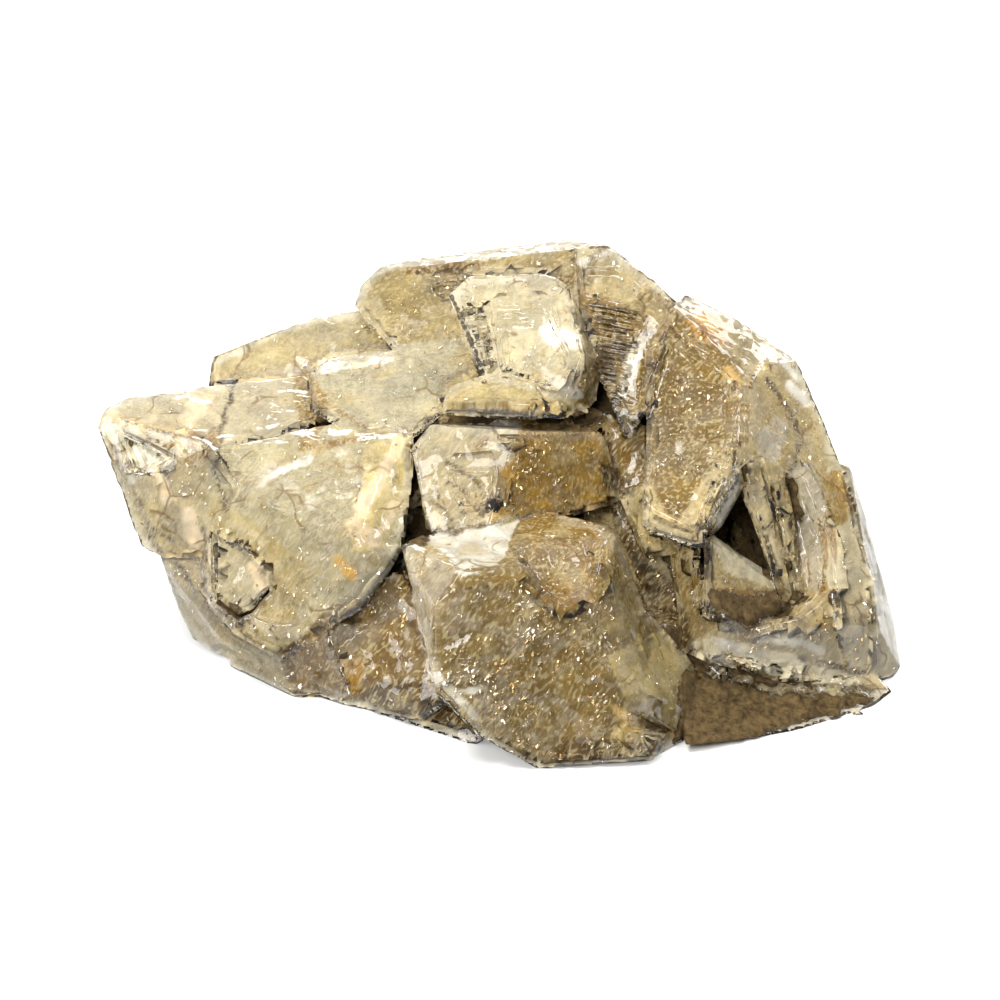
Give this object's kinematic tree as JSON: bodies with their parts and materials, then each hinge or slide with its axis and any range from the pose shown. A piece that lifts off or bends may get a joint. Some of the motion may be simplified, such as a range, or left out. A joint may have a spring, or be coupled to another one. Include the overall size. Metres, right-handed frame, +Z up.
{
  "type": "fenster quartz",
  "caption": "Group of clear skeletal quartz crystals grown together, with stepped window hollows in their faces, that rests on a flat cut foot.",
  "frame": {"origin": "middle of the bounding box on the ground, level with the cut foot", "axes": "+X to the right end of the group as seen from its front, +Y to its back, +Z up"},
  "size_m": [0.0804, 0.0628, 0.0361],
  "materials": {
    "clear_quartz": "natural crystal faces, smooth in places and etched in others, faintly yellow",
    "iron_clay": "earthy matte, ochre to dark brown",
    "milky_veil": "fine white flaws inside the crystal"
  },
  "bodies": {
    "root": {"fenster_quartz": "clear_quartz"}
  },
  "joints": []
}
